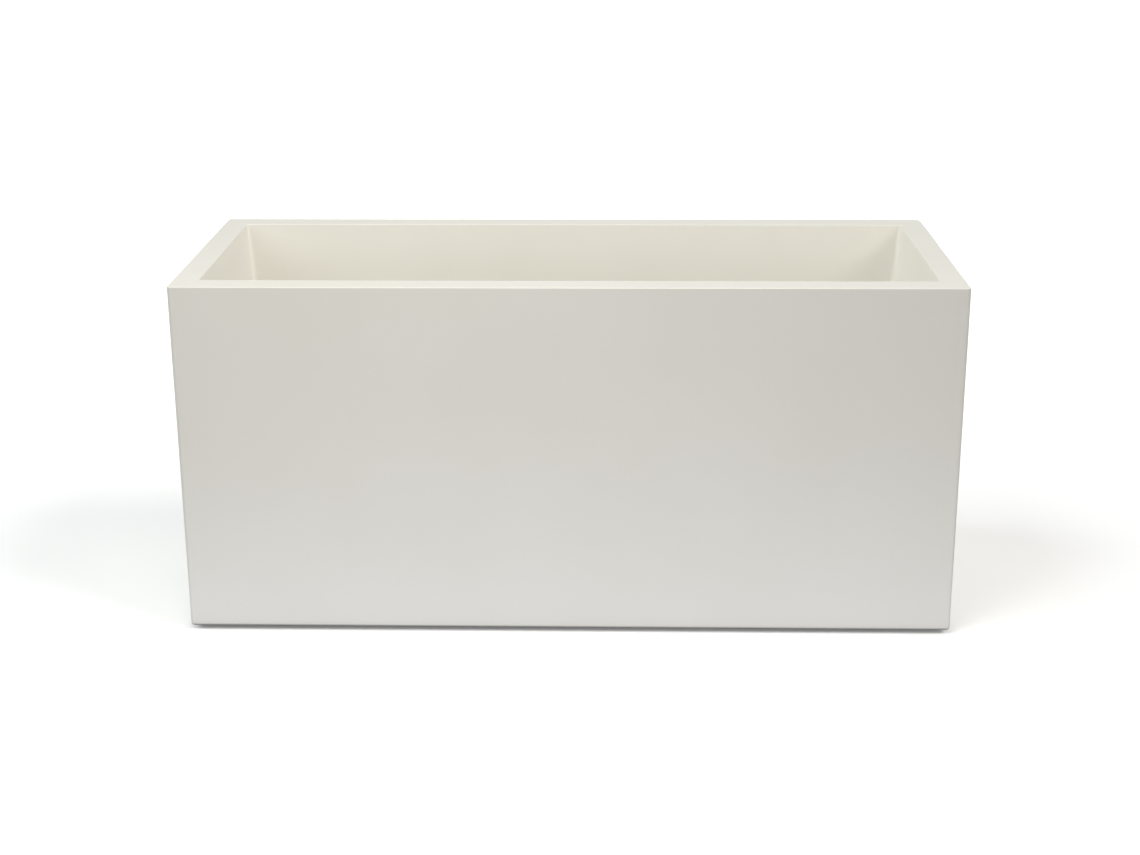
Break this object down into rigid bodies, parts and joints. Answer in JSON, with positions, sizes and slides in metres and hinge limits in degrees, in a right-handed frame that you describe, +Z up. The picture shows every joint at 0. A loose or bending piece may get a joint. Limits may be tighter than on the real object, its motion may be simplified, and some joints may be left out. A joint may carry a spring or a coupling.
{
  "type": "rectangular trough planter",
  "caption": "Rectangular floor-standing planter in smooth cream moulded glass fibre, with a flat rim, sloping inner walls, drain outlets with pull-out plugs and rubber feet.",
  "frame": {"origin": "on the ground, under the middle of the planter", "axes": "+Z up, +X along the planter's length to its right, +Y from its front to its back, so the front faces -Y"},
  "size_m": [0.9, 0.325, 0.425],
  "materials": {
    "gelcoat": "smooth cream gelcoat, satin to semi-gloss",
    "timber": "sawn softwood sealed with resin",
    "pipe_plastic": "plain grey moulded plastic",
    "rubber": "matte black moulded rubber",
    "steel": "plain stainless"
  },
  "bodies": {
    "planter": {"outer_shell": "gelcoat", "rim_liner": "gelcoat", "front_batten": "timber", "back_batten": "timber", "left_batten": "timber", "right_batten": "timber", "base_bearer_left": "timber", "base_bearer_centre": "timber", "base_bearer_right": "timber", "drain_fitting_left": "pipe_plastic", "drain_fitting_right": "pipe_plastic", "foot_front_left": "rubber", "foot_front_right": "rubber", "foot_back_left": "rubber", "foot_back_right": "rubber", "foot_screws": "steel"},
    "plug_left": {"drain_plug_left": "rubber"},
    "plug_right": {"drain_plug_right": "rubber"}
  },
  "joints": [
    {"name": "plug_left_pull", "type": "slide", "parent": "planter", "child": "plug_left", "axis": [0, 0, 1], "range_m": [0, 0.06]},
    {"name": "plug_right_pull", "type": "slide", "parent": "planter", "child": "plug_right", "axis": [0, 0, 1], "range_m": [0, 0.06]}
  ]
}
